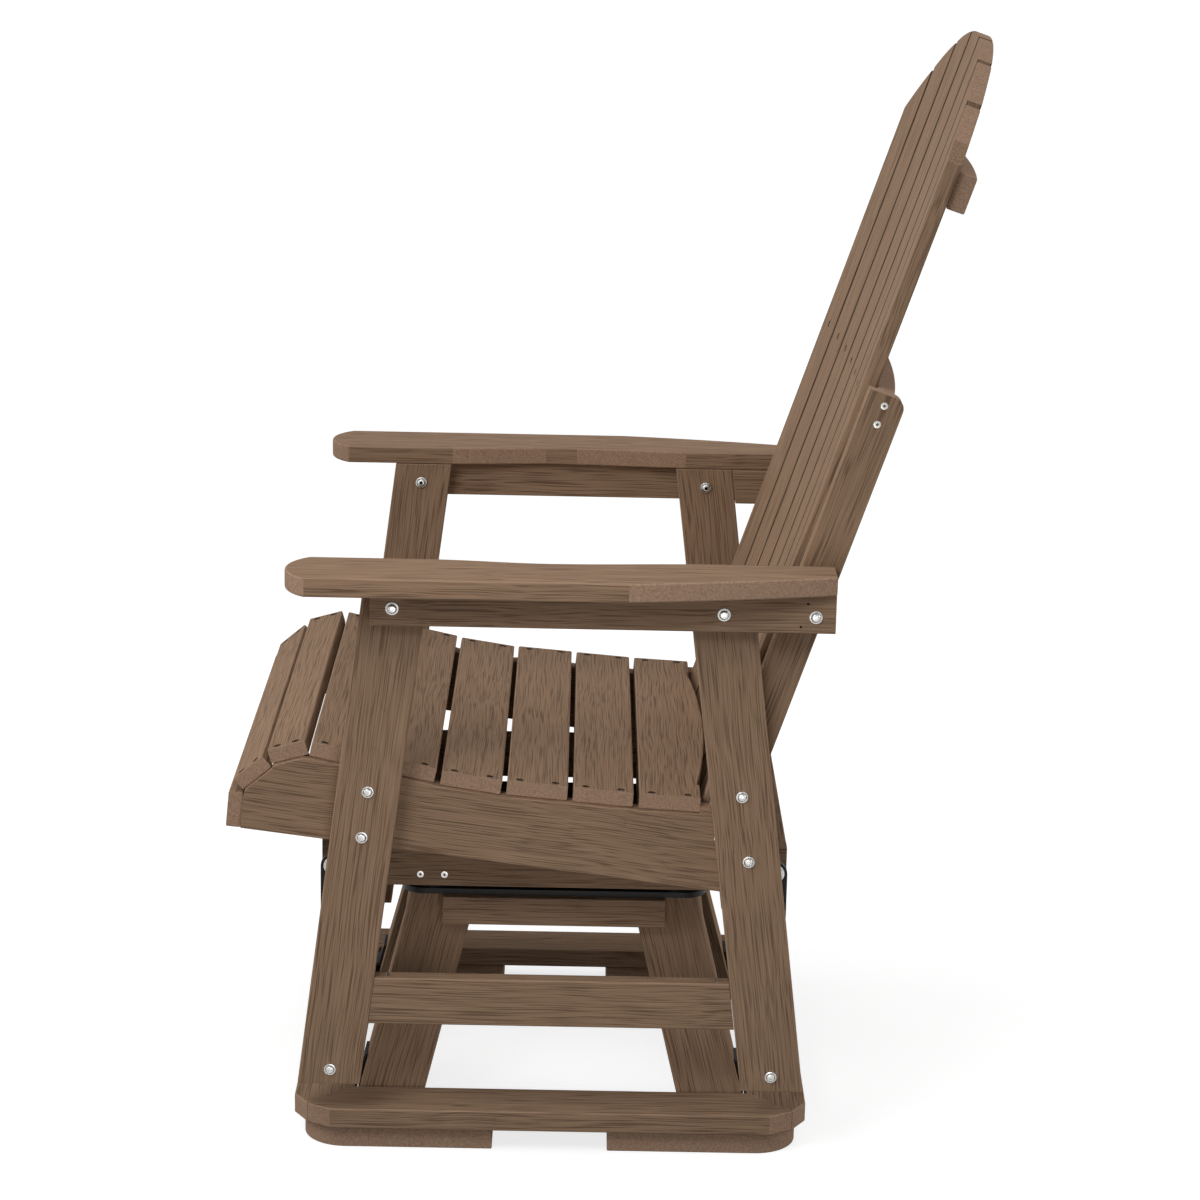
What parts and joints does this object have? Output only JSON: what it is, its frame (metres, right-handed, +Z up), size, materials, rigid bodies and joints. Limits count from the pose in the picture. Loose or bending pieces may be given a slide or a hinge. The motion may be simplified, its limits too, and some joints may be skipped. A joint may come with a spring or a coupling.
{
  "type": "swivel glider chair",
  "caption": "Slatted plastic-lumber Adirondack chair that glides on steel hangers from a turning subframe over a splayed pedestal and square base ring.",
  "frame": {"origin": "bottom centre of the whole chair's bounding box, on the floor", "axes": "+Z up, the sitter faces -Y, +X is the sitter's left"},
  "size_m": [0.708, 0.7808, 1.159],
  "materials": {
    "plastic_lumber": "embossed wood grain, matte brown",
    "black_steel": "black powder coat",
    "stainless_steel": "plain stainless"
  },
  "bodies": {
    "base": {"foot_pads": "plastic_lumber", "ring_front": "plastic_lumber", "ring_rear": "plastic_lumber", "ring_left": "plastic_lumber", "ring_right": "plastic_lumber", "pedestal_side_boards": "plastic_lumber", "pedestal_end_boards": "plastic_lumber", "pedestal_rails": "plastic_lumber", "corner_brackets": "black_steel", "base_screws": "stainless_steel", "swivel_lower_plate": "black_steel", "swivel_balls": "stainless_steel"},
    "swivel_frame": {"swivel_upper_plate": "black_steel", "subframe_side_left": "plastic_lumber", "subframe_side_right": "plastic_lumber", "subframe_cross_boards": "plastic_lumber", "subframe_fasteners": "stainless_steel"},
    "front_hanger_pair": {"front_hangers": "black_steel", "front_bearings": "stainless_steel"},
    "rear_hanger_pair": {"rear_hangers": "black_steel", "rear_bearings": "stainless_steel"},
    "chair": {"leg_front_left": "plastic_lumber", "leg_front_right": "plastic_lumber", "leg_rear_left": "plastic_lumber", "leg_rear_right": "plastic_lumber", "lower_rail_left": "plastic_lumber", "lower_rail_right": "plastic_lumber", "seat_rail_left": "plastic_lumber", "seat_rail_right": "plastic_lumber", "front_apron": "plastic_lumber", "seat_slat_1": "plastic_lumber", "seat_slat_2": "plastic_lumber", "seat_slat_3": "plastic_lumber", "seat_slat_4": "plastic_lumber", "seat_slat_5": "plastic_lumber", "seat_slat_6": "plastic_lumber", "seat_slat_7": "plastic_lumber", "seat_slat_8": "plastic_lumber", "arm_rail_left": "plastic_lumber", "arm_rail_right": "plastic_lumber", "armrest_left": "plastic_lumber", "armrest_right": "plastic_lumber", "arm_spacers": "plastic_lumber", "back_post_left": "plastic_lumber", "back_post_right": "plastic_lumber", "back_slat_1": "plastic_lumber", "back_slat_2": "plastic_lumber", "back_slat_3": "plastic_lumber", "back_slat_4": "plastic_lumber", "back_slat_5": "plastic_lumber", "back_slat_6": "plastic_lumber", "back_slat_7": "plastic_lumber", "back_rail_top": "plastic_lumber", "back_rail_middle": "plastic_lumber", "back_rail_bottom": "plastic_lumber", "pivot_spacers": "black_steel", "frame_bolts": "stainless_steel", "pivot_bolts": "stainless_steel", "slat_screws": "stainless_steel"}
  },
  "joints": [
    {"name": "swivel", "type": "hinge", "parent": "base", "child": "swivel_frame", "pos_m": [0, -0.05035, 0.2609], "axis": [0, 0, 1], "continuous": true},
    {"name": "front_glide", "type": "hinge", "parent": "swivel_frame", "child": "front_hanger_pair", "pos_m": [0, -0.28075, 0.3065], "axis": [1, 0, 0], "range_deg": [-18, 18]},
    {"name": "rear_glide", "type": "hinge", "parent": "swivel_frame", "child": "rear_hanger_pair", "pos_m": [0, 0.18005, 0.3065], "axis": [1, 0, 0], "range_deg": [-18.5, 18.5]},
    {"name": "chair_glide", "type": "hinge", "parent": "front_hanger_pair", "child": "chair", "pos_m": [0, -0.28075, 0.098], "axis": [1, 0, 0], "range_deg": [-18.5, 18.5]}
  ],
  "couplings": [
    {"joint": "rear_glide", "follows": "front_glide", "ratio": 1},
    {"joint": "chair_glide", "follows": "front_glide", "ratio": -1}
  ]
}
